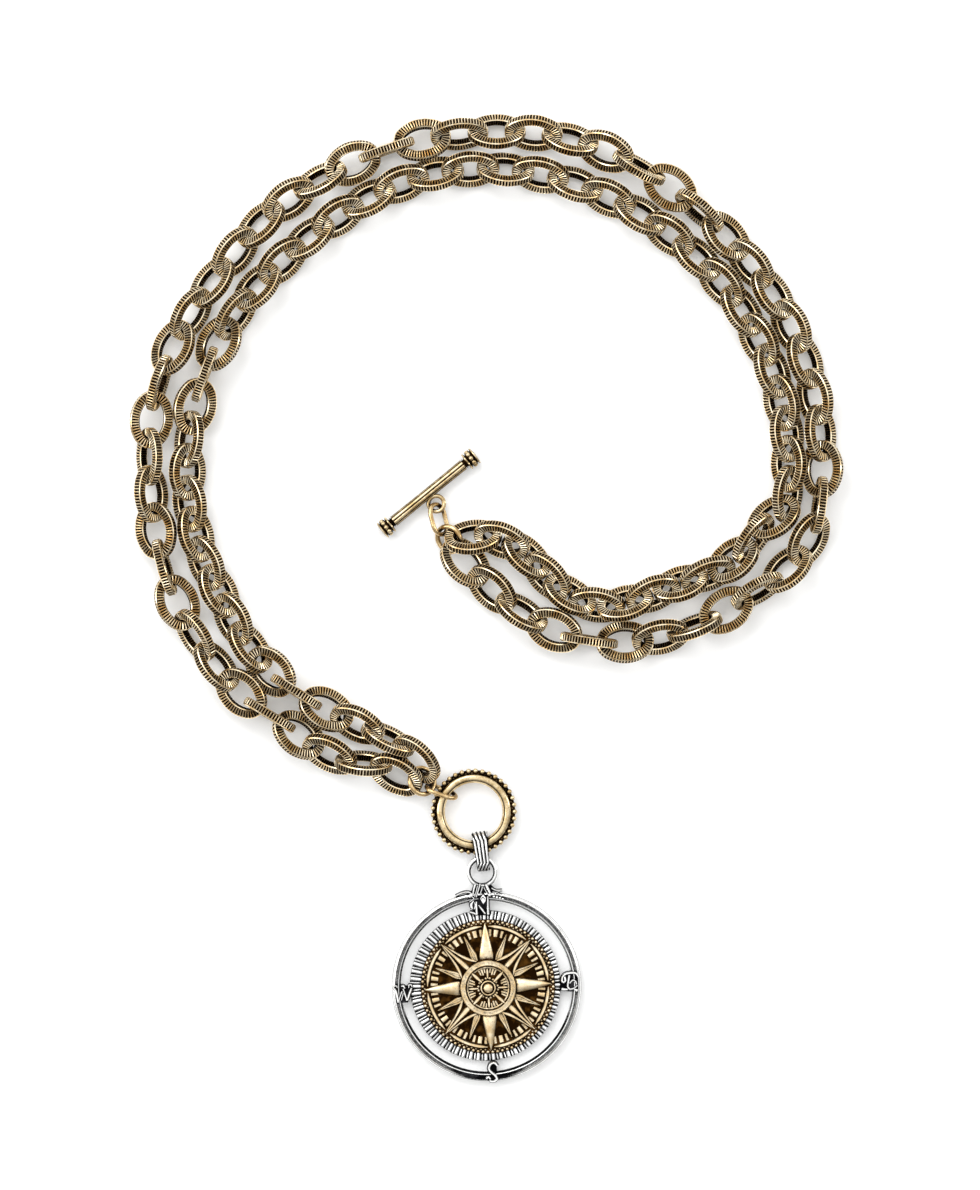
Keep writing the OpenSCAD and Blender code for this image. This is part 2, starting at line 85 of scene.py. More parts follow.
def antiqued(name, bright, body, patina, tint, dirt_and_shade=1.6, polish=0.22, reach=0.9, pit=0.35, relief=0.03, mottle=0.7):
    """Plated casting that was blackened and rubbed back: bright where a thumb reaches, near black in
    the grooves. The dark comes from the piece's own per-vertex values, which hold patina and painted shade,
    and from how closed in the surface is within reach millimetres, which gives patina in crevices and
    painted shade where parts lie close to each other and to the floor. Pits are pit millimetres wide and
    relief deep, and mottle is how much of the patina stays in them."""
    material = bpy.data.materials.new(name)
    material.use_nodes = True
    tree = material.node_tree
    tree.nodes.clear()
    where = add(tree, "ShaderNodeTexCoord").outputs["Object"]
    cloud = add(tree, "ShaderNodeTexNoise", {"Vector": where}, {"Scale": 1 / (2.2 * MM), "Detail": 3.0}).outputs["Fac"]
    grain = add(tree, "ShaderNodeTexNoise", {"Vector": where}, {"Scale": 1 / (pit * MM), "Detail": 4.0}).outputs["Fac"]
    tone = add(tree, "ShaderNodeMath", {0: grain, 2: cloud}, {1: 0.6}, operation="MULTIPLY_ADD").outputs[0]
    metal = ramp(tree, tone, [(0.66, body), (0.92, bright)])
    film = ramp(tree, cloud, [(0.48, patina), (0.68, tint)])
    patina_and_shade = add(tree, "ShaderNodeAttribute", attribute_name="patina_and_shade").outputs["Fac"]
    # Ambient occlusion darkens the surface: patina in its crevices, and painted shade where parts lie close to each
    # other and to the floor
    open_sky = add(tree, "ShaderNodeAmbientOcclusion", values={"Distance": reach * MM}, samples=6).outputs["AO"]
    shut_in_dirt_and_shade = add(tree, "ShaderNodeMapRange", {"Value": open_sky},
               {"From Min": 1.0, "From Max": 0.0, "To Min": 0.0, "To Max": dirt_and_shade}).outputs[0]
    # The sum holds patina, dirt and painted shade
    depth = add(tree, "ShaderNodeMath", {0: patina_and_shade, 1: shut_in_dirt_and_shade}, operation="ADD").outputs[0]
    ragged = add(tree, "ShaderNodeMath", {0: grain, 2: depth}, {1: mottle}, operation="MULTIPLY_ADD").outputs[0]
    cover = ramp(tree, ragged, [(0.55, 0.0), (1.0, 1.0)])
    colour = add(tree, "ShaderNodeMix", {0: cover, 6: metal, 7: film}, data_type="RGBA").outputs[2]
    dull = add(tree, "ShaderNodeMapRange", {"Value": ragged},
               {"From Min": 0.4, "From Max": 1.2, "To Min": polish, "To Max": 0.6}).outputs[0]
    bump = add(tree, "ShaderNodeBump", {"Height": grain}, {"Strength": 0.3, "Distance": relief * MM}).outputs[0]
    shader = add(tree, "ShaderNodeBsdfPrincipled", {"Base Color": colour, "Roughness": dull, "Normal": bump},
                 {"Metallic": 1.0})
    add(tree, "ShaderNodeOutputMaterial", {"Surface": shader.outputs[0]})
    return material


# Gold-plated brass wire, notched by a wheel and antiqued: cream ribs, near black notches
brass_links = antiqued("antiqued_notched_brass", "#ffefce", "#dcba84", "#160b02", "#3c2408", dirt_and_shade=2.0)
# The toggle's castings, tumbled smooth, so that the light runs along them in long clean lines
brass_smooth = antiqued("antiqued_polished_brass", "#e4cfa6", "#b3986a", "#160b02", "#3a2308", dirt_and_shade=1.6, polish=0.18)
# Drawn wire of the small rings, left darker than the castings
brass_wire = antiqued("antiqued_brass_wire", "#e4c898", "#b49463", "#2a1806", "#4f3514", polish=0.2)
# The medallion and its rose, cast with a fine mottled skin and amber lacquer in the ground
brass_relief = antiqued("antiqued_cast_brass_relief", "#fbeac8", "#dcc091", "#201104", "#5c3c16", dirt_and_shade=0.8, polish=0.3,
                        reach=0.6, pit=0.42, relief=0.08, mottle=1.02)
# Silver plate, oxidised and rubbed: white ridges and black lines with hardly a grey between
silver_cast = antiqued("oxidised_silver_plate", "#fdfdfc", "#eaeae8", "#0c0c0e", "#3c3c3f", dirt_and_shade=1.1, polish=0.17,
                       reach=0.8)


# Mesh building, in millimetres

class Shape:
    """Collects parts of one piece, with each vertex's darkness from 0, rubbed bright, to 1, blackened;
    the darkness holds patina and painted shade.
    """

    def __init__(self):
        self.points, self.faces, self.patina_and_shade = [], [], []

    def put(self, part, place=None):
        points, faces, patina_and_shade = part
        base = len(self.points)
        if place is not None:
            points = [place @ Vector(p) for p in points]
        self.points += [tuple(p) for p in points]
        self.faces += [tuple(base + i for i in face) for face in faces]
        self.patina_and_shade += list(patina_and_shade)

    def build(self, name, finish, sharp=38.0):
        mesh = bpy.data.meshes.new(name)
        mesh.from_pydata([[c * MM for c in p] for p in self.points], [], self.faces)
        mesh.materials.append(finish)
        patina_and_shade = mesh.attributes.new("patina_and_shade", "FLOAT", "POINT")
        patina_and_shade.data.foreach_set("value", self.patina_and_shade)
        work = bmesh.new()
        work.from_mesh(mesh)
        bmesh.ops.remove_doubles(work, verts=work.verts, dist=1e-7)
        bmesh.ops.recalc_face_normals(work, faces=work.faces)
        work.to_mesh(mesh)
        work.free()
        mesh.shade_smooth()
        mesh.set_sharp_from_angle(angle=math.radians(sharp))
        thing = bpy.data.objects.new(name, mesh)
        bpy.context.scene.collection.objects.link(thing)
        return thing


def circle(steps):
    return [2 * math.pi * k / steps for k in range(steps)]


def lofted(rings, closed=False, patina_and_shade=None):
    """Skins a row of sections that have the same number of points, and caps the ends."""
    n = len(rings[0])
    points = [p for ring in rings for p in ring]
    values = patina_and_shade or [0.0] * len(points)
    faces = []
    for k in range(len(rings) if closed else len(rings) - 1):
        a, b = k * n, ((k + 1) % len(rings)) * n
        faces += [(a + i, b + i, b + (i + 1) % n, a + (i + 1) % n) for i in range(n)]
    if not closed:
        faces += [tuple(range(n)), tuple(range((len(rings) - 1) * n, len(rings) * n))]
    return points, faces, values


def turned(profile, steps=96, shade=None):
    """A closed profile of (r, z, darkness) turned about Z; shade(angle, row) adds darkness of its own."""
    rings, values = [], []
    for a in circle(steps):
        rings.append([(r * math.cos(a), r * math.sin(a), z) for r, z, _ in profile])
        values += [v + (shade(a, i) if shade else 0.0) for i, (_, _, v) in enumerate(profile)]
    return lofted(rings, closed=True, patina_and_shade=values)


def ball(centre, radius, around=10, rows=6, patina_and_shade=0.0):
    """A bead, darker towards its foot."""
    points, faces, values = [], [], []
    for j in range(1, rows):
        t = math.pi * j / rows
        for a in circle(around):
            out = radius * math.sin(t)
            points.append((centre[0] + out * math.cos(a), centre[1] + out * math.sin(a),
                           centre[2] + radius * math.cos(t)))
            values.append(patina_and_shade + (0.5 if t > 1.4 else 0.0))
    top, low = len(points), len(points) + 1
    points += [(centre[0], centre[1], centre[2] + radius), (centre[0], centre[1], centre[2] - radius)]
    values += [patina_and_shade, patina_and_shade + 0.5]
    for i in range(around):
        k = (i + 1) % around
        faces.append((top, i, k))
        for j in range(rows - 2):
            faces.append((j * around + i, (j + 1) * around + i, (j + 1) * around + k, j * around + k))
        faces.append((low, (rows - 2) * around + k, (rows - 2) * around + i))
    return points, faces, values


def smooth_path(points, between=6):
    """More points on a smooth curve through the given ones, each a tuple of any length."""
    pts = [np.array(p, float) for p in points]
    out = []
    for i in range(len(pts) - 1):
        p0, p1, p2, p3 = pts[max(i - 1, 0)], pts[i], pts[i + 1], pts[min(i + 2, len(pts) - 1)]
        for k in range(between):
            t = k / between
            out.append(0.5 * (2 * p1 + (p2 - p0) * t + (2 * p0 - 5 * p1 + 4 * p2 - p3) * t * t
                              + (3 * p1 - p0 - 3 * p2 + p3) * t ** 3))
    out.append(pts[-1])
    return out


def stroke(points, low, high, bevel=0.15, patina_and_shade=0.0, foot=0.12, curved=True, side=0.35):
    """A raised stroke along points of (x, y, width), with bevelled top edges and blackened sides."""
    path = smooth_path(points) if curved and len(points) > 2 else [np.array(p, float) for p in points]
    rings, values = [], []
    for i, p in enumerate(path):
        before, after = path[max(i - 1, 0)], path[min(i + 1, len(path) - 1)]
        d = after[:2] - before[:2]
        d = d / (np.linalg.norm(d) + 1e-9)
        w = max(p[2] / 2, 0.02)
        b = min(bevel, 0.7 * w)
        section = [(-w - foot, low), (-w, high - b), (b - w, high), (w - b, high), (w, high - b), (w + foot, low)]
        rings.append([(p[0] - d[1] * u, p[1] + d[0] * u, z) for u, z in section])
        values += [1.0, side + patina_and_shade, patina_and_shade, patina_and_shade, side + patina_and_shade, 1.0]
    return lofted(rings, patina_and_shade=values)


def slab(outline, low, high, patina_and_shade=0.0, inset=0.1):
    """A flat plate with a bevelled top over an outline of (x, y)."""
    middle = np.mean(np.array(outline, float), axis=0)
    rings = []
    for z, step in ((low, 0.0), (high - inset, 0.0), (high, inset)):
        ring = []
        for p in outline:
            away = np.array(p, float) - middle
            q = np.array(p, float) - away / (np.linalg.norm(away) + 1e-9) * step
            ring.append((q[0], q[1], z))
        rings.append(ring)
    n = len(outline)
    return lofted(rings, patina_and_shade=[1.0] * n + [patina_and_shade + 0.4] * n + [patina_and_shade] * n)


def wire_loop(points, radius, around, inner_dark):
    """Round wire along a closed loop of points that lies in one plane, its inner side darker."""
    pts = [Vector(p) for p in points]
    n = len(pts)
    normal = (pts[n // 4] - pts[0]).cross(pts[n // 2] - pts[0]).normalized()
    rings, values = [], []
    for i in range(n):
        d = (pts[(i + 1) % n] - pts[i - 1]).normalized()
        out = d.cross(normal)
        for t in circle(around):
            values.append(inner_dark * max(0.0, -math.cos(t)) ** 0.6)
        rings.append([tuple(pts[i] + radius * (math.cos(t) * out + math.sin(t) * normal)) for t in circle(around)])
    return lofted(rings, closed=True, patina_and_shade=values)


# Where each CAD solid lies

def solids_of(name):
    """Centre, axes (long, wide, thin) and half sizes of each separate solid in a CAD node, in millimetres."""
    mesh = cad[name].data.copy()
    work = bmesh.new()
    work.from_mesh(mesh)
    bmesh.ops.remove_doubles(work, verts=work.verts, dist=1e-6)
    bmesh.ops.triangulate(work, faces=work.faces)
    work.verts.index_update()
    seen, out = set(), []
    for first in work.verts:
        if first.index in seen:
            continue
        group, stack = [], [first]
        seen.add(first.index)
        while stack:
            v = stack.pop()
            group.append(v)
            for e in v.link_edges:
                o = e.other_vert(v)
                if o.index not in seen:
                    seen.add(o.index)
                    stack.append(o)
        faces = {f for v in group for f in v.link_faces}
        tri = np.array([[list(v.co) for v in f.verts] for f in faces]) / MM
        area = np.linalg.norm(np.cross(tri[:, 1] - tri[:, 0], tri[:, 2] - tri[:, 0]), axis=1) / 2
        mid = tri.mean(axis=1)
        centre = (area[:, None] * mid).sum(0) / area.sum()
        spread = ((area[:, None] * (mid - centre)).T @ (mid - centre)) / area.sum()
        _, axes = np.linalg.eigh(spread)
        long, wide = axes[:, 2], axes[:, 1]
        rows = np.array([long, wide, np.cross(long, wide)])
        reach = np.abs((tri.reshape(-1, 3) - centre) @ rows.T).max(0)
        out.append((centre, rows, [float(c) for c in reach]))
    work.free()
    bpy.data.meshes.remove(mesh)
    return out


def placed(solid):
    centre, rows, _ = solid
    return Matrix.Translation(Vector(centre)) @ Matrix(rows.T.tolist()).to_4x4()


def middle(node):
    """The middle of a CAD node's box, in millimetres."""
    low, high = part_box(node)
    return Vector([(a + b) / 2 / MM for a, b in zip(low, high)])


# Repeats, made with Geometry Nodes

def tree_with(name, inputs):
    tree = bpy.data.node_groups.new(name, "GeometryNodeTree")
    tree.interface.new_socket("Geometry", in_out="INPUT", socket_type="NodeSocketGeometry")
    tree.interface.new_socket("Geometry", in_out="OUTPUT", socket_type="NodeSocketGeometry")
    for label, kind in inputs:
        tree.interface.new_socket(label, in_out="INPUT", socket_type="NodeSocket" + kind)
    return tree, tree.nodes.new("NodeGroupInput")


def finish_tree(tree, start, instances):
    real = add(tree, "GeometryNodeRealizeInstances", {"Geometry": instances})
    dress = add(tree, "GeometryNodeSetMaterial", {"Geometry": real.outputs[0], "Material": start.outputs["Finish"]})
    end = tree.nodes.new("NodeGroupOutput")
    tree.links.new(dress.outputs[0], end.inputs[0])
    return tree


def copies_tree():
    """A copy of one shape at each point, with the point's own 'turn' and 'stretch'."""
    tree, start = tree_with("copies_at_points", [("Shape", "Object"), ("Finish", "Material")])
    shape = add(tree, "GeometryNodeObjectInfo", {"Object": start.outputs["Shape"]})
    turn = add(tree, "GeometryNodeInputNamedAttribute", values={"Name": "turn"}, data_type="FLOAT_VECTOR")
    stretch = add(tree, "GeometryNodeInputNamedAttribute", values={"Name": "stretch"}, data_type="FLOAT_VECTOR")
    copies = add(tree, "GeometryNodeInstanceOnPoints",
                 {"Points": start.outputs[0], "Instance": shape.outputs["Geometry"],
                  "Rotation": turn.outputs["Attribute"], "Scale": stretch.outputs["Attribute"]})
    return finish_tree(tree, start, copies.outputs[0])


def row_tree():
    """Copies of one shape evenly round a circle, each turned with it."""
    tree, start = tree_with("row_round_circle", [("Shape", "Object"), ("Copies", "Int"), ("Radius", "Float"),
                                                 ("Height", "Float"), ("Start Angle", "Float"), ("Finish", "Material")])
    shape = add(tree, "GeometryNodeObjectInfo", {"Object": start.outputs["Shape"]})
    index = tree.nodes.new("GeometryNodeInputIndex")
    share = add(tree, "ShaderNodeMath", {0: index.outputs[0], 1: start.outputs["Copies"]}, operation="DIVIDE")
    angle = add(tree, "ShaderNodeMath", {0: share.outputs[0], 2: start.outputs["Start Angle"]}, {1: 2 * math.pi},
                operation="MULTIPLY_ADD")
    sides = []
    for side in ("COSINE", "SINE"):
        wave = add(tree, "ShaderNodeMath", {0: angle.outputs[0]}, operation=side)
        sides.append(add(tree, "ShaderNodeMath", {0: wave.outputs[0], 1: start.outputs["Radius"]},
                         operation="MULTIPLY").outputs[0])
    place = add(tree, "ShaderNodeCombineXYZ", {0: sides[0], 1: sides[1], 2: start.outputs["Height"]})
    turn = add(tree, "ShaderNodeCombineXYZ", {2: angle.outputs[0]})
    dots = add(tree, "GeometryNodePoints", {"Count": start.outputs["Copies"], "Position": place.outputs[0]})
    copies = add(tree, "GeometryNodeInstanceOnPoints",
                 {"Points": dots.outputs[0], "Instance": shape.outputs["Geometry"], "Rotation": turn.outputs[0]})
    return finish_tree(tree, start, copies.outputs[0])


def grown(host, tree, settings):
    """Runs a tree on an object, and leaves the result as the object's plain mesh."""
    modifier = host.modifiers.new(tree.name, "NODES")
    modifier.node_group = tree
    for item in tree.interface.items_tree:
        if item.in_out == "INPUT" and item.name in settings:
            modifier[item.identifier] = settings[item.name]
    seen = bpy.context.evaluated_depsgraph_get()
    mesh = bpy.data.meshes.new_from_object(host.evaluated_get(seen), preserve_all_data_layers=True, depsgraph=seen)
    host.modifiers.clear()
    old = host.data
    host.data = mesh
    bpy.data.meshes.remove(old)
    return host


COPIES = copies_tree()
ROW = row_tree()


def copies_at(name, shape, places, finish, sharp=38.0):
    """Copies of a shape at places of (point, turn as Euler angles, stretch), in millimetres."""
    master = shape.build("master", finish, sharp)
    mesh = bpy.data.meshes.new(name)
    mesh.from_pydata([[c * MM for c in point] for point, _, _ in places], [], [])
    for label, column in (("turn", 1), ("stretch", 2)):
        layer = mesh.attributes.new(label, "FLOAT_VECTOR", "POINT")
        layer.data.foreach_set("vector", [c for place in places for c in place[column]])
    host = bpy.data.objects.new(name, mesh)
    bpy.context.scene.collection.objects.link(host)
    grown(host, COPIES, {"Shape": master, "Finish": finish})
    lose(master)
    return host


def row_of(shape, copies, radius, height, finish, start=0.0, centre=(0, 0), sharp=38.0):
    """Copies of a shape round a circle of a radius and height in millimetres, from a start in degrees."""
    master = shape.build("master", finish, sharp)
    host = Shape().build("row", finish)
    grown(host, ROW, {"Shape": master, "Copies": copies, "Radius": radius * MM, "Height": height * MM,
                      "Start Angle": math.radians(start), "Finish": finish})
    host.data.transform(Matrix.Translation((centre[0] * MM, centre[1] * MM, 0)))
    lose(master)
    return host


def lose(thing):
    mesh = thing.data
    bpy.data.objects.remove(thing)
    bpy.data.meshes.remove(mesh)


def joined(name, things):
    """Fuses several objects into one mesh."""
    bpy.ops.object.select_all(action="DESELECT")
    for thing in things:
        thing.select_set(True)
    bpy.context.view_layer.objects.active = things[0]
    bpy.ops.object.join()
    things[0].name = things[0].data.name = name
    return things[0]


def stands_for(piece, node):
    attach(piece, "root")
    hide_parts(node)


def one_shape(part):
    shape = Shape()
    shape.put(part)
    return shape


# Chain: oval links of wire notched all round

RIBS = 48
# Share of a rib's length, how far the faces rise there, and how dark they are
STATIONS = ((0.0, 0.06, -0.9), (0.5, -0.22, 1.5))
LINK_L, LINK_W, BLUNT = 12.7, 9.45, 0.8
WIRE_W, WIRE_T, CORNER, FACE = 2.02, 1.82, 0.17, 0.29
# How much darker the inner faces, with painted shade towards the link's hole, and the outer faces are,
# and how bright the lines along the corners
INNER_FACE, OUTER_FACE, INNER_CORNER, CORNER_LINE = 0.95, 0.3, -0.1, -0.5


def oval_stations(length, width, blunt):
    """Centre points, outward normals and rib station along a four-arc oval, evenly spaced."""
    a, b = length / 2, width / 2
    r = b * blunt
    e = a - r
    big = (e * e + b * b - r * r) / (2 * (b - r))
    turn = math.atan2(big - b, e)
    arcs = [((e, 0), r, -turn, turn), ((0, b - big), big, turn, math.pi - turn),
            ((-e, 0), r, math.pi - turn, math.pi + turn), ((0, big - b), big, math.pi + turn, 2 * math.pi - turn)]
    lengths = [radius * (t1 - t0) for _, radius, t0, t1 in arcs]
    out = []
    for k in range(RIBS * len(STATIONS)):
        rib, part = divmod(k, len(STATIONS))
        at = sum(lengths) * (rib + STATIONS[part][0]) / RIBS
        for (centre, radius, t0, _), length_here in zip(arcs, lengths):
            if at <= length_here + 1e-9:
                t = t0 + at / radius
                nx, ny = math.cos(t), math.sin(t)
                out.append((centre[0] + radius * nx, centre[1] + radius * ny, nx, ny, part))
                break
            at -= length_here
    return out


def notched_link():
    """The wheel's notches lie in the four faces, and the corners run on between them as bright lines."""
    rings, values = [], []
    for x, y, nx, ny, part in oval_stations(LINK_L - WIRE_W, LINK_W - WIRE_W, BLUNT):
        _, rise, dark = STATIONS[part]
        w, t = WIRE_W / 2, WIRE_T / 2
        ring = []
        for side, top in ((1, 1), (-1, 1), (-1, -1), (1, -1)):
            corner = [(side * (w + rise), top * (t - FACE), dark + (INNER_FACE if side < 0 else OUTER_FACE)),
                      (side * w, top * (t - CORNER), INNER_CORNER if side < 0 else CORNER_LINE),
                      (side * (w - CORNER), top * t, CORNER_LINE),
                      (side * (w - FACE), top * (t + rise), dark)]
            ring += corner if side * top > 0 else corner[::-1]
        rings.append([(x + nx * u, y + ny * u, v) for u, v, _ in ring])
        values += [patina_and_shade for _, _, patina_and_shade in ring]
    return one_shape(lofted(rings, closed=True, patina_and_shade=values))


for node in ("chain_outer", "chain_inner"):
    places = [placed(solid) for solid in solids_of(node)]
    strand = copies_at(node + "_links", notched_link(), [(p.to_translation(), p.to_euler(), (1, 1, 1)) for p in places],
                       brass_links, sharp=30)
    stands_for(strand, node)


# Plain wire rings

def stretched_circle(radius, stretch, steps=72):
    """Points of a circle pulled apart along X by stretch on each side."""
    return [(radius * math.cos(t) + math.copysign(stretch, math.cos(t)), radius * math.sin(t), 0)
            for t in circle(steps)]


for node in ("toggle_link", "toggle_jump_ring", "ring_link", "ring_jump_ring"):
    solid = solids_of(node)[0]
    long_half, wide_half, wire = solid[2]
    stretch = long_half - wide_half if long_half - wide_half > 0.1 else 0.0
    ring = Shape()
    ring.put(wire_loop(stretched_circle(wide_half - wire, stretch), wire, 14, inner_dark=0.35), placed(solid))
    stands_for(ring.build(node + "_wire", brass_wire), node)


# Toggle ring: smooth crowned band, and two rows of beads in a blackened channel

EYE = middle("toggle_ring")
BEADS = 37
# Radius of a bead and of its row, for the large and the small beads
BEAD_R, BEAD_ROW, SMALL_R, SMALL_ROW = 0.56, 8.98, 0.34, 8.42
band = turned([(6.35, -0.5, 0.2), (6.68, -0.9, 0.1), (7.1, -0.95, 0), (7.7, -0.95, 0), (8.03, -0.6, 0.5),
               (8.3, -0.5, 1.3), (9.15, -0.42, 1.3), (9.15, 0.0, 1.3), (8.3, 0.1, 1.3), (8.2, 0.3, 1),
               (8.18, 0.5, 0.3), (8.1, 0.68, 0), (7.95, 0.82, 0), (7.7, 0.92, 0), (7.4, 0.96, 0), (7.15, 0.93, 0),
               (6.98, 0.86, 0), (6.9, 0.78, 0.35), (6.84, 0.7, 0.75), (6.74, 0.66, 0.7), (6.68, 0.68, 0.1),
               (6.5, 0.64, 0), (6.38, 0.48, 0), (6.33, 0.3, 0.2)], 144)
toggle_ring = joined("toggle_ring_cast", [
    one_shape(band).build("band", brass_smooth),
    row_of(one_shape(ball((0, 0, 0), BEAD_R, 12, 8)), BEADS, BEAD_ROW, 0.12, brass_smooth),
    row_of(one_shape(ball((0, 0, 0), SMALL_R, 10, 6, patina_and_shade=0.6)), BEADS, SMALL_ROW, 0.2, brass_smooth,
           start=180 / BEADS)])
toggle_ring.data.transform(Matrix.Translation(EYE * MM))
stands_for(toggle_ring, "toggle_ring")


# Toggle bar: fluted shaft with dark necks, beaded caps and the soldered loop

BAR_TURN = math.radians(38.4)
BAR_AT = Vector((-12.9, 108.5, middle("toggle_bar").z))
LOBES = 8
SHAFT_HALF, SHAFT_R, VALLEY = 9.9, 1.2, 0.22
CAP_BEADS, CAP_BEAD_R, CAP_BEAD_AT, CAP_BEAD_OUT = 9, 0.6, 12.05, 1.54
BAR_LOOP_R, BAR_LOOP_WIRE, BAR_LOOP_AT = 1.725, 0.475, 2.6


def fluted_shaft():
    rings, values = [], []
    for share in (k / 20 for k in range(-20, 21)):
        radius = SHAFT_R + 0.06 * share * share
        ring = []
        for t in circle(64):
            valley = (1 - abs(math.sin(LOBES * t / 2 + 0.17))) ** 1.5
            r = radius - VALLEY * valley
            ring.append((share * SHAFT_HALF, r * math.cos(t), r * math.sin(t)))
            # Painted shade: darker on the underside, and along the two sides that turn away from above
            under, flank = 0.35 * max(0.0, -math.sin(t)), 0.5 if abs(math.cos(t)) > 0.88 else 0.0
            values.append(min(1.2, 1.1 * valley + under + flank))
        rings.append(ring)
    return lofted(rings, patina_and_shade=values)


bar, shaft = Shape(), Matrix.Translation((0.15, 0.3, 0)) @ Matrix.Rotation(math.radians(0.7), 4, "Z")
bar.put(fluted_shaft(), shaft)
neck = turned([(0.02, 9.6, 1), (1.1, 9.6, 1), (0.95, 9.85, 1.2), (0.92, 10.5, 1.2), (1.1, 10.8, 1), (1.1, 10.95, 1),
               (0.02, 10.95, 1)], 48)
collar = turned([(0.02, 10.16, 0.6), (1.1, 10.16, 0.6), (1.2, 10.22, 0.45), (1.1, 10.3, 0.6), (0.02, 10.3, 0.6)], 48)
cap = turned([(0.02, 10.72, 0.4), (1.65, 10.72, 0.4), (1.98, 10.8, 0.1), (2.05, 10.93, 0), (1.98, 11.06, 0),
              (1.65, 11.18, 0.8), (1.46, 11.35, 1.2), (1.46, 12.65, 1.2), (1.6, 12.78, 1), (1.95, 12.84, 0.35),
              (2.08, 12.96, 0.15), (2.05, 13.12, 0.25), (1.5, 13.3, 0.4), (1.35, 13.26, 0.6), (0.8, 13.34, 0.1),
              (0.02, 13.38, 0.1)], 64)
for side in (-1, 1):
    along = shaft @ Matrix.Rotation(math.radians(90 * side), 4, "Y")
    for part in (neck, collar, cap):
        bar.put(part, along)
    for a in circle(CAP_BEADS):
        bead_at = (side * CAP_BEAD_AT, CAP_BEAD_OUT * math.sin(a), CAP_BEAD_OUT * math.cos(a))
        bar.put(ball(bead_at, CAP_BEAD_R, 12, 8), shaft)
bar_loop = [(x, y - BAR_LOOP_AT, z) for x, y, z in stretched_circle(BAR_LOOP_R, 0)]
bar.put(wire_loop(bar_loop, BAR_LOOP_WIRE, 14, inner_dark=0.3))
bar = bar.build("toggle_bar_cast", brass_smooth)
bar.data.transform(Matrix.Translation(BAR_AT * MM) @ Matrix.Rotation(BAR_TURN, 4, "Z"))
stands_for(bar, "toggle_bar")


# Bail: a band of slanting ridges round the toggle ring and the pendant's loop

BAIL_TURN = math.radians(7)


def bail_band(ridges=4, half=4.6, wall=0.85, depth=0.34):
    low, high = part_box("bail")
    r = (high[2] - low[2]) / MM / 2
    rings, values = [], []
    steps = ridges * 8
    for t in circle(120):
        reach = half - r
        along = math.copysign(reach, math.cos(t)) + (r - wall / 2) * math.cos(t)
        up = (r - wall / 2) * math.sin(t)
        share = (along + half) / (2 * half)
        width = 2.75 + 0.85 * share ** 1.3
        # Seen from above the ridges run down to the right, and turn back to the left near the lower end
        slant = 0.95 * (1 - share) if share > 0.36 else 0.95 * 0.64 - 2.4 * (0.36 - share)
        ring = []
        for k in range(steps + 1):
            u = k / steps
            phase = (u * ridges - 3.8 * slant) % 1.0
            lift = math.sin(math.pi * phase) ** 0.8
            edge = 1 - abs(2 * u - 1) ** 6
            out = wall / 2 - depth * (1 - lift) - 0.3 * (1 - edge)
            ring.append(((u - 0.5) * width, along + math.cos(t) * out, up + math.sin(t) * out))
            values.append(1.3 * (1 - lift) + 0.6 * (1 - edge) ** 2)
        for u in (0.5, -0.5):
            ring.append((u * width * 0.9, along - math.cos(t) * wall / 2, up - math.sin(t) * wall / 2))
            values.append(0.9)
        rings.append(ring)
    return lofted(rings, closed=True, patina_and_shade=values)


bail = one_shape(bail_band()).build("bail_band", silver_cast, sharp=60)
bail.data.transform(Matrix.Translation(middle("bail") * MM) @ Matrix.Rotation(BAIL_TURN, 4, "Z"))
stands_for(bail, "bail")


# Pendant: fluted disc, grooved ring, letters and crown, cast in one

DISC_AT, RING_AT, MEDAL_AT, LOOP_AT = (-0.5, 0.3), (-0.2, 0.15), (0.1, 0.1), (-1.22, 25.38)
ROSE_TURN = 3.0
FLUTES = 60
DISC_R, MEDAL_R = 16.7, 14.75


def at(place, height=0.0):
    return Matrix.Translation((place[0], place[1], height))


def px(x, y):
    """A place in the pendant's plane, in millimetres, from its place in the photograph."""
    return (x - ORIGIN_X) * PHOTO_MM, (ORIGIN_Y - y) * PHOTO_MM


def strokes(rows, low=1.1, high=2.75, patina_and_shade=0.0, bevel=0.16, thin=0.9):
    """Strokes through rows of (x, y, width), each a little lower than the one before."""
    for step, row in enumerate(rows):
        yield stroke([(*px(x, y), thin * w) for x, y, w in row], low, high - 0.015 * step, bevel, patina_and_shade,
                     foot=0.2, side=0.5)


# Shares of foot, low and high in the shade of the ring's profile rows: 6 to 14 are its outer ridge and
# groove, 15 and 16 the inner ridge, 17 to 19 the inner wall
RING_SHADE = {6: (0.3, 0, 0), 7: (0.6, 0, 0), 8: (0.75, 0, 0), 9: (0.75, 0, 0), 10: (0.6, 0, 0), 11: (0.5, 0, 0),
              12: (0.5, 0, 0), 13: (0.6, 0, 0), 14: (0.2, 0, 0), 15: (0, 0, -0.5), 16: (0, 0, -0.6),
              17: (0, 1.0, -0.9), 18: (0, 1.1, -0.9), 19: (0, 0.9, -0.9)}


def ring_shade(a, row):
    """Lowest down, the ring is darker outside; lower down, painted shade blackens its inner wall; higher up,
    painted light lifts its inner ridge and wall against the occlusion shade.
    """
    low = max(0.0, min(1.0, -0.1 - 2.5 * math.sin(a)))
    foot = max(0.0, min(1.0, (-math.sin(a) - 0.9) / 0.08))
    at_foot, at_low, at_high = RING_SHADE.get(row, (0, 0, 0))
    return at_foot * foot + at_low * low + at_high * (1 - low)


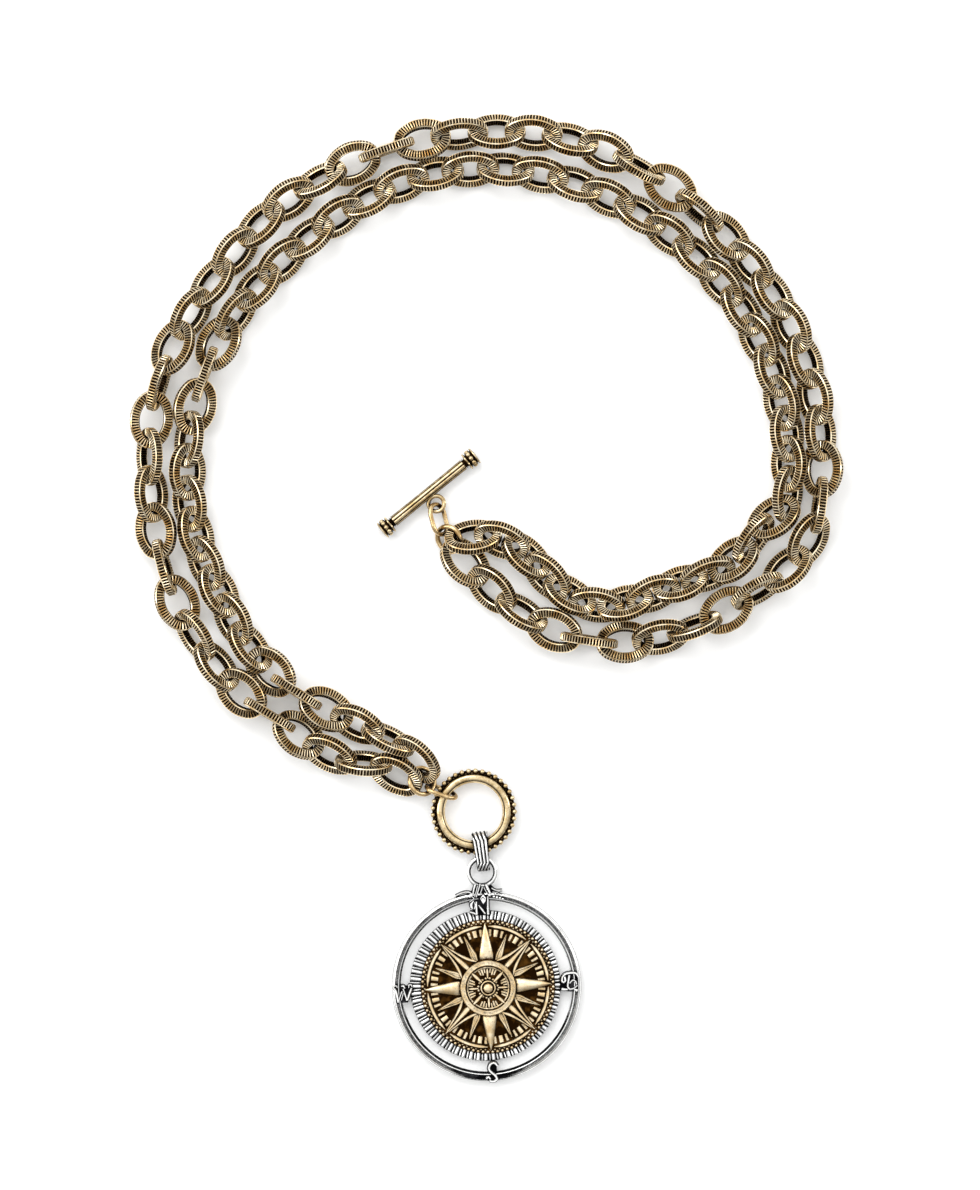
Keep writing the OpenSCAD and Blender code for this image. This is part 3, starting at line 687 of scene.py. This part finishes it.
def casting():
    shape = Shape()
    shape.put(turned([(0.02, 0.0, 0), (16.3, 0.0, 0), (16.6, 0.2, 0.4), (16.62, 1.1, 1), (16.4, 1.3, 1),
                      (14.95, 1.35, 1), (14.9, 1.5, 1), (0.02, 1.5, 1)], 180), at(DISC_AT))
    shape.put(turned([(18.8, 1.25, 0.8), (18.95, 1.02, 0.3), (20.6, 1.02, 0), (20.78, 1.2, 0.6), (20.86, 1.9, 0.9),
                      (20.82, 2.1, 0.6), (20.74, 2.24, 0.1), (20.6, 2.44, 0), (20.42, 2.58, 0), (20.24, 2.62, 0),
                      (20.12, 2.5, 0.1), (20.04, 2.25, 0.3), (19.84, 2.16, 0.4), (19.64, 2.2, 0.3),
                      (19.56, 2.36, 0.1), (19.46, 2.46, 0), (19.32, 2.42, 0), (19.2, 2.15, 0), (18.98, 1.8, 0),
                      (18.86, 1.6, 0)], 180, ring_shade), at(RING_AT))
    loop = [(LOOP_AT[0] + x, LOOP_AT[1] + y, 1.85) for x, y, _ in stretched_circle(3.02, 0, 96)]
    shape.put(wire_loop(loop, 0.54, 16, inner_dark=0.85))
    # Dark webs behind the crown and the letters
    for high, web in ((2.25, [(474, 884), (490, 884), (497, 891), (493, 898), (489.5, 900), (489, 915.5),
                              (475.5, 915.5), (471, 908), (468, 897), (471, 892)]),
                (2.35, [(560.5, 977), (566, 972.5), (576, 972.5), (580.5, 978), (580.5, 986), (578, 992), (570, 992),
                        (560.5, 991)]),
                (2.2, [(393.2, 988), (397, 986), (411, 986), (411.5, 989), (408, 1003), (398, 1003.5)]),
                (2.2, [(487.5, 1066), (491, 1063), (496.5, 1065), (497.5, 1077), (495, 1082.5), (487, 1081)])):
        shape.put(slab([px(*p) for p in web], 1.05, high, patina_and_shade=1.0))
    crown = [
        # strands from the loop down to the N
        [(475.4, 884.5, 0.6), (474, 889.5, 0.5), (472.6, 896, 0.4)],
        [(480.2, 884, 0.5), (478.4, 890, 0.5), (476.2, 897.5, 0.5)],
        [(477.4, 886, 0.3), (476.4, 891, 0.35), (474.6, 897, 0.3)],
        [(482.4, 887, 0.35), (481.2, 891.5, 0.4), (479.4, 895.6, 0.3)],
        [(485.6, 884.8, 0.65), (488, 889.5, 0.75), (490.4, 894.6, 0.6)],
        [(483.8, 887.5, 0.3), (485.6, 891, 0.35), (487.4, 894, 0.4)],
        # N
        [(476.4, 902, 0.55), (476.4, 908, 0.62), (476.8, 914.6, 0.7)],
        [(487.8, 896.5, 0.5), (487.7, 905, 0.55), (488, 914.8, 0.65)],
        [(478.6, 905.4, 0.45), (481.8, 909.6, 0.62), (485.2, 914.2, 0.5)],
        # left scroll and petal
        [(455.5, 896.2, 0.3), (461, 893.6, 0.35), (466.7, 892.3, 0.4), (471.3, 893.8, 0.45), (472.2, 897, 0.35)],
        [(466.3, 897.5, 0.6), (468.8, 896.2, 0.7), (470.2, 897.6, 0.5)],
        [(469.4, 895.8, 0.25), (473.8, 898.6, 0.35), (469.6, 902.4, 0.25)],
        [(473.8, 901, 0.4), (471.2, 905, 0.75), (472.4, 909, 0.5)],
        [(474.6, 902.6, 0.3), (475.2, 906, 0.45), (474.2, 909.6, 0.35)],
        [(469.6, 912.4, 0.5), (473.6, 913.4, 0.65), (477, 915.2, 0.5)],
        # right leaf
        [(491.5, 888.5, 0.35), (496, 890.6, 0.35), (502.2, 890.4, 0.3)],
        [(492.5, 892.3, 0.35), (496.5, 892.6, 0.35), (499.5, 891.6, 0.25)],
    ]
    for part in strokes(crown):
        shape.put(part)
    # The kite's blackened ground and its raised face
    ground = [(483, 892.4), (487.2, 897.6), (486.8, 902.2), (483.4, 906.2), (481, 903.4), (478.2, 899)]
    face = [(483, 894.2), (486, 897.8), (485.6, 901.6), (483.2, 904.4), (479.9, 898.8)]
    for outline, low, high, patina_and_shade in ((ground, 1.1, 2.72, 1.0), (face, 2.0, 2.9, 0.0)):
        shape.put(slab([px(*p) for p in outline], low, high, patina_and_shade, inset=0.08))
    for part in strokes([[(481.2, 899.6, 0.24), (482.8, 897.4, 0.28), (484.8, 899.6, 0.24)]], 2.5, 2.95, 1.0):
        shape.put(part)
    for x, y, r in [(489.6, 895.3, 0.42), (487.6, 889.8, 0.25), (494, 896.9, 0.33), (497, 897.6, 0.33),
                    (500, 898.4, 0.32), (502.9, 899.3, 0.3), (495.5, 894.3, 0.25), (498.6, 894.6, 0.24),
                    (501.5, 896, 0.24)]:
        shape.put(ball((*px(x, y), 2.6), r, 12, 8))
    letter_e = [
        [(562.4, 977.6, 0.5), (565.2, 974.6, 0.6), (570, 973.4, 0.6), (575.6, 973.6, 0.55), (578.6, 977.8, 0.45)],
        [(562.4, 977.4, 0.5), (562.2, 981.4, 0.6), (564.4, 982.8, 0.5)],
        [(564.6, 977, 0.6), (565.4, 980.8, 0.65), (564.2, 982.6, 0.4)],
        [(569.3, 975.5, 0.6), (568.5, 981, 0.6), (567.8, 986.6, 0.55), (570, 989.6, 0.5)],
        [(569.6, 983.5, 0.4), (573, 980.4, 0.5), (575.4, 981.6, 0.45), (576.6, 984.6, 0.35)],
        [(569.6, 989.6, 0.5), (574, 988.6, 0.45), (577.4, 985.6, 0.35)],
        [(574.4, 989.4, 0.5), (577.6, 991, 0.8)],
        [(561.8, 989.2, 0.75), (564.6, 989.6, 0.65), (568, 989.6, 0.45)],
    ]
    letter_w = [
        [(393.4, 989.6, 0.35), (393.9, 987, 0.35), (396, 986.2, 0.35), (397.2, 988, 0.35)],
        [(394.2, 988.6, 0.5), (396.4, 993.6, 0.62), (398.3, 1002.8, 0.5)],
        [(398.8, 1001, 0.35), (400.2, 996.4, 0.4), (402.2, 991.6, 0.35)],
        [(401.2, 986.8, 0.45), (403.4, 986.6, 0.55), (404.6, 989, 0.4)],
        [(403, 989, 0.4), (404.6, 994, 0.5), (406.8, 1001, 0.45)],
        [(401.3, 1000.6, 0.35), (402.4, 996.4, 0.35), (403.2, 993.4, 0.3)],
        [(407.4, 1000.4, 0.5), (409.2, 994.4, 0.6), (411.4, 988.4, 0.5)],
        [(408.6, 988.2, 0.35), (409, 985.6, 0.35), (411.2, 985.4, 0.35), (411.9, 987.4, 0.35)],
    ]
    letter_s = [
        [(497.6, 1066.6, 0.5), (494.4, 1063.4, 0.6), (490.6, 1064.6, 0.6), (489, 1069.4, 0.62), (491.5, 1072.8, 0.65),
         (495.6, 1076.4, 0.65), (496.6, 1079.4, 0.6), (493.4, 1081.8, 0.55), (489.6, 1081, 0.5)],
        [(486.4, 1079, 0.6), (488.6, 1077.4, 0.6), (490.6, 1079.6, 0.45)],
    ]
    for letter in (letter_e, letter_w, letter_s):
        for part in strokes(letter, high=2.88, thin=0.96):
            shape.put(part)
    return shape


def flute():
    """One flute, a broad bar with a narrow ridge beside it, its length 1 along X and its round end at 0."""
    shape = Shape()
    # faint greys one side of the narrow ridge: painted shade
    for across, half, top, faint in ((0.18, 0.5, 1.95, 0.0), (-0.62, 0.29, 1.88, 0.28)):
        rings, values = [], []
        for x, wide, high in ((-1.0, 1, 1), (-0.5, 1, 1), (-0.12, 1, 1), (-0.04, 0.92, 0.88), (0.0, 0.7, 0.5)):
            ring = []
            for k in range(7):
                a = math.pi * k / 6
                ring.append((x, across + half * wide * math.cos(a), 1.15 + (top - 1.15) * high * math.sin(a) ** 0.7))
                values.append((0.7, 0.15, 0, 0, faint, 0.15 + faint, 0.7)[k] + (0.25 if x == 0.0 else 0.0))
            ring += [(x, across - half * wide, 0.9), (x, across + half * wide, 0.9)]
            values += [1, 1]
            rings.append(ring)
        shape.put(lofted(rings, patina_and_shade=values))
    return shape


def flute_places():
    """Each flute ends at the disc's edge and starts at the medallion, which sits a little off the disc's middle."""
    shift = np.array(MEDAL_AT) - np.array(DISC_AT)
    for a in circle(FLUTES):
        out = np.array([math.cos(a), math.sin(a)])
        near = shift @ out
        start = near + math.sqrt((MEDAL_R + 0.05) ** 2 - shift @ shift + near * near)
        end = np.array(DISC_AT) + (DISC_R - 0.12) * out
        yield (end[0], end[1], 0.0), (0, 0, a), (DISC_R - 0.12 - start, 1, 1)


pendant = joined("pendant_frame_cast", [casting().build("casting", silver_cast),
                                        copies_at("flutes", flute(), list(flute_places()), silver_cast)])
stands_for(pendant, "pendant_frame")


# Medallion: plate, two rows of beads, arcs and dentils

def arc(start, sweep, radius=13.3, width=0.85):
    """A raised arc with tapered ends."""
    rows = []
    for share in (0.0, 0.06, 0.15, 0.3, 0.5, 0.7, 0.85, 0.94, 1.0):
        a = math.radians(start + sweep * share)
        taper = min(1.0, 0.25 + 5 * share, 0.25 + 5 * (1 - share))
        rows.append((radius * math.cos(a), radius * math.sin(a), width * taper))
    return stroke(rows, 2.05, 2.6, 0.22, foot=0.08)


def dentil(half, length, patina_and_shade):
    sides = [(-half * 1.15, 2.0), (-half, 2.35), (-half * 0.7, 2.44), (half * 0.7, 2.44), (half, 2.35),
             (half * 1.15, 2.0)]
    ends = ((11.85 - length / 2, 0.82), (11.85 + length / 2, 1.0))
    rings = [[(x, y * wide, z) for y, z in sides] for x, wide in ends]
    return one_shape(lofted(rings, patina_and_shade=[1, 0.4 + patina_and_shade, patina_and_shade, patina_and_shade, 0.4 + patina_and_shade, 1] * 2))


RIM_BEADS = 84

plate = Shape()
plate.put(turned([(0.02, 1.55, 0), (14.6, 1.55, 0.2), (14.72, 1.7, 0.3), (14.74, 2.2, 0.5), (14.5, 2.3, 0.9),
                  (13.9, 2.24, 0.9), (13.1, 2.15, 0.75), (12.2, 2.15, 0.75), (11.9, 2.15, 1), (0.02, 2.15, 1)], 180))
for k in range(8):
    plate.put(arc(ROSE_TURN + 45 * k + 3.2, 38.6))
medallion_parts = [plate.build("plate", brass_relief),
                   row_of(one_shape(ball((0, 0, 0), 0.35, 8, 6)), RIM_BEADS, 14.38, 2.32, brass_relief),
                   row_of(one_shape(ball((0, 0, 0), 0.27, 8, 6, patina_and_shade=0.25)), RIM_BEADS, 13.94, 2.3, brass_relief,
                          start=180 / RIM_BEADS)]
for sixteenth, half, patina_and_shade in ((4.8, 0.34, 0.1), (11.2, 0.5, 0.0), (17.4, 0.36, 0.12)):
    medallion_parts.append(row_of(dentil(half, 1.5, patina_and_shade), 16, 0, 0, brass_relief, start=ROSE_TURN + sixteenth))
medallion = joined("medallion_plate", medallion_parts)
medallion.data.transform(at((MEDAL_AT[0] * MM, MEDAL_AT[1] * MM)))
stands_for(medallion, "medallion")


# Compass rose: sixteen rays, the hub's ring, spokes and petals

ROSE_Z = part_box("compass_rose")[0][2] / MM
HUB_AT = (0.15, -0.2)


def cardinal_ray():
    """A full, rounded ridge that narrows to the tip, with a blackened foot at the hub."""
    rings, values = [], []
    for x, half, crest, dark in ((5.6, 1.75, 0.7, 0.6), (6.3, 1.66, 0.85, 0.3), (6.8, 1.62, 0.98, 0.05),
                                 (8.2, 1.4, 1.0, 0), (9.5, 1.16, 0.95, 0), (11.0, 0.88, 0.84, 0),
                                 (12.4, 0.58, 0.7, 0), (13.2, 0.34, 0.56, 0), (13.9, 0.08, 0.4, 0)):
        ring = []
        for share, rise, shadow in ((-1, 0, 1), (-1, 0.35, 0.3), (-0.84, 0.62, 0), (-0.55, 0.85, 0), (-0.2, 0.98, 0),
                                    (0.2, 0.98, 0), (0.55, 0.85, 0), (0.84, 0.62, 0), (1, 0.35, 0.3), (1, 0, 1)):
            ring.append((x, half * share, crest * rise))
            values.append(min(1.0, shadow + dark))
        rings.append(ring)
    return one_shape(lofted(rings, patina_and_shade=values))


def diagonal_ray():
    """Three blades that meet at the tip: a straight one, and one curved outwards on each side."""
    shape = Shape()
    shape.put(stroke([(5.7, 0, 1.2), (7.5, 0, 1.25), (9.5, 0, 0.95), (11.5, 0, 0.66), (13.0, 0, 0.4),
                      (13.9, 0, 0.14)], 0.0, 0.9, 0.3, foot=0.1))
    for side in (-1, 1):
        shape.put(stroke([(5.6, side * 2.4, 0.5), (6.6, side * 1.86, 0.72), (8.0, side * 1.3, 0.78),
                          (9.8, side * 0.84, 0.62), (12.0, side * 0.42, 0.4), (13.2, side * 0.2, 0.2)], 0.0, 0.72,
                          0.2, foot=0.1))
    web = [(5.6, -2.2), (7.2, -1.4), (9.6, -0.7), (13.4, 0), (9.6, 0.7), (7.2, 1.4), (5.6, 2.2)]
    shape.put(slab(web, 0.0, 0.34, patina_and_shade=0.8, inset=0.05))
    return shape


def short_ray():
    """A narrow leaf with raised edges and a dark vein at its foot."""
    shape = Shape()
    for side, width, patina_and_shade in ((-1, 0.64, 0.0), (1, 0.54, 0.08)):
        shape.put(stroke([(6.2, side * 0.32, 0.5), (7.4, side * 0.48, width), (8.6, side * 0.34, width),
                          (10.2, side * 0.18, width * 0.8), (12.2, 0.0, 0.16)], 0.0, 0.58 + 0.05 * side, 0.2, patina_and_shade,
                          foot=0.08))
    shape.put(slab([(6.2, -0.4), (7.4, -0.7), (11.0, -0.15), (11.0, 0.15), (7.4, 0.7), (6.2, 0.4)], 0.0, 0.46,
                   patina_and_shade=0.1, inset=0.05))
    return shape


def hub():
    shape = Shape()
    shape.put(turned([(4.9, 0.0, 1), (6.1, 0.0, 1), (6.12, 1.0, 0.5), (6.06, 1.22, 0), (5.9, 1.36, 0),
                      (5.74, 1.34, 0.15), (5.3, 1.34, 0.18), (5.12, 1.38, 0), (5.0, 1.3, 0), (4.9, 1.05, 0.6)], 120))
    shape.put(turned([(0.02, 0.0, 1), (5.0, 0.0, 1), (5.0, 0.3, 0.8), (0.02, 0.32, 0.8)], 60))
    shape.put(turned([(4.3, 0.2, 1), (4.86, 0.2, 1), (4.84, 0.6, 0.3), (4.7, 0.7, 0.1), (4.46, 0.7, 0.1),
                      (4.34, 0.6, 0.4)], 96))
    shape.put(turned([(0.02, 0.0, 1), (1.72, 0.0, 1), (1.7, 0.9, 0.5), (1.62, 1.04, 0), (1.5, 1.08, 0),
                      (1.4, 1.04, 0.2), (1.3, 0.96, 1), (0.02, 0.96, 1)], 60))
    for k in range(16):
        a = math.radians(22.5 * k + 14)
        shape.put(ball((2.14 * math.cos(a), 2.14 * math.sin(a), 0.45), 0.38, 8, 6, 0.1))
    for k in range(8):
        turn = Matrix.Rotation(math.radians(ROSE_TURN + 45 * k), 4, "Z")
        if k % 2:
            shape.put(stroke([(1.9, 0, 0.5), (3.6, 0, 0.74), (4.8, 0, 0.5)], 0.1, 0.95, 0.14), turn)
        else:
            shape.put(stroke([(2.2, 0, 0.4), (3.6, 0, 0.55), (4.3, 0, 0.3)], 0.1, 0.8, 0.12), turn)
            for lean, start, wide in ((-26, 3.2, 0.4), (-17.5, 3.0, 0.44), (-9, 3.4, 0.34), (9, 3.4, 0.34),
                                      (17.5, 3.0, 0.44), (26, 3.2, 0.4)):
                petal = stroke([(start, 0, wide), (4.4, 0, wide * 1.25)], 0.1, 0.6, 0.08, 0.1, curved=False)
                shape.put(petal, turn @ Matrix.Rotation(math.radians(lean), 4, "Z"))
    return shape


hub_part = hub().build("hub", brass_relief, sharp=45)
hub_part.data.transform(at((HUB_AT[0] * MM, HUB_AT[1] * MM), ROSE_Z * MM))
rays = [row_of(cardinal_ray(), 4, 0, ROSE_Z, brass_relief, ROSE_TURN, MEDAL_AT, sharp=50),
        row_of(diagonal_ray(), 4, 0, ROSE_Z, brass_relief, ROSE_TURN + 45, MEDAL_AT),
        row_of(short_ray(), 8, 0, ROSE_Z, brass_relief, ROSE_TURN + 22.5, MEDAL_AT)]
stands_for(joined("compass_rose_relief", [hub_part] + rays), "compass_rose")

quarter = [math.pi / 2 * k / 8 for k in range(8)]
dome = [(0.02, 0.0, 0)] + [(1.04 * math.cos(t), 0.02 + 0.56 * math.sin(t), 0) for t in quarter] + [(0.02, 0.58, 0)]
rivet = Shape()
rivet.put(turned(dome, 48), at(HUB_AT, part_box("center_rivet")[0][2] / MM))
stands_for(rivet.build("rivet_dome", brass_relief), "center_rivet")


# Floor, light and camera

def white_card():
    """Matt white paper."""
    material = bpy.data.materials.new("white_card")
    material.use_nodes = True
    shader = material.node_tree.nodes["Principled BSDF"]
    shader.inputs["Base Color"].default_value = linear("#f4f4f4")
    shader.inputs["Roughness"].default_value = 0.9
    # The card lies on a light table
    shader.inputs["Emission Color"].default_value = linear("#fdfffc")
    shader.inputs["Emission Strength"].default_value = 0.15
    return material


FLOOR_Z = -0.00005
bpy.ops.mesh.primitive_plane_add(size=3.0, location=(0, 0.09, FLOOR_Z))
floor = bpy.context.object
floor.name = "floor"
floor.data.materials.append(white_card())

# A light tent that is brightest overhead and towards the top of the picture, and dimmer on the near side
world = bpy.data.worlds.new("tent")
bpy.context.scene.world = world
world.use_nodes = True
sky = world.node_tree
sky.nodes.clear()
bearing = add(sky, "ShaderNodeTexCoord").outputs["Generated"]
lean = add(sky, "ShaderNodeVectorMath", {0: bearing}, {1: (-0.2, 0.55, 0.81)}, operation="DOT_PRODUCT").outputs["Value"]
glow = ramp(sky, lean, [(0.0, 0.25), (0.25, 0.38), (0.5, 0.6), (0.8, 0.92), (1.0, 1.0)])
back = add(sky, "ShaderNodeBackground", {"Color": glow}, {"Strength": 1.45})
add(sky, "ShaderNodeOutputWorld", {"Surface": back.outputs[0]})


def softbox(name, place, aim, wide, high, power):
    light = bpy.data.lights.new(name, "AREA")
    light.shape = "RECTANGLE"
    light.size, light.size_y, light.energy = wide, high, power
    thing = bpy.data.objects.new(name, light)
    thing.location = place
    thing.rotation_euler = (Vector(aim) - Vector(place)).to_track_quat("-Z", "Y").to_euler()
    thing.visible_camera = False
    bpy.context.scene.collection.objects.link(thing)


MIDDLE = (0, 0.09, 0)
softbox("key", (-0.35, 0.8, 0.95), MIDDLE, 0.6, 0.6, 3.5)
softbox("left_strip", (-0.9, 0.1, 0.55), MIDDLE, 0.3, 0.8, 2.5)
softbox("right_strip", (0.95, 0.3, 0.45), MIDDLE, 0.2, 0.8, 2)

AWAY = 1.6
SENSOR = 36
# The camera's distance is taken from about the middle of the pieces' height
MID_HEIGHT = 0.004
lens = bpy.data.cameras.new("overhead_camera")
camera = bpy.data.objects.new("overhead_camera", lens)
bpy.context.scene.collection.objects.link(camera)
bpy.context.scene.camera = camera
lens.sensor_width = SENSOR
lens.lens = SENSOR * AWAY / (PHOTO_HIGH * PHOTO_MM * MM)
lens.clip_end = 10
camera.location = ((PHOTO_WIDE / 2 - ORIGIN_X) * PHOTO_MM * MM, (ORIGIN_Y - PHOTO_HIGH / 2) * PHOTO_MM * MM,
                   AWAY + MID_HEIGHT)

bpy.context.scene.view_settings.view_transform = "Standard"

bpy.context.view_layer.update()
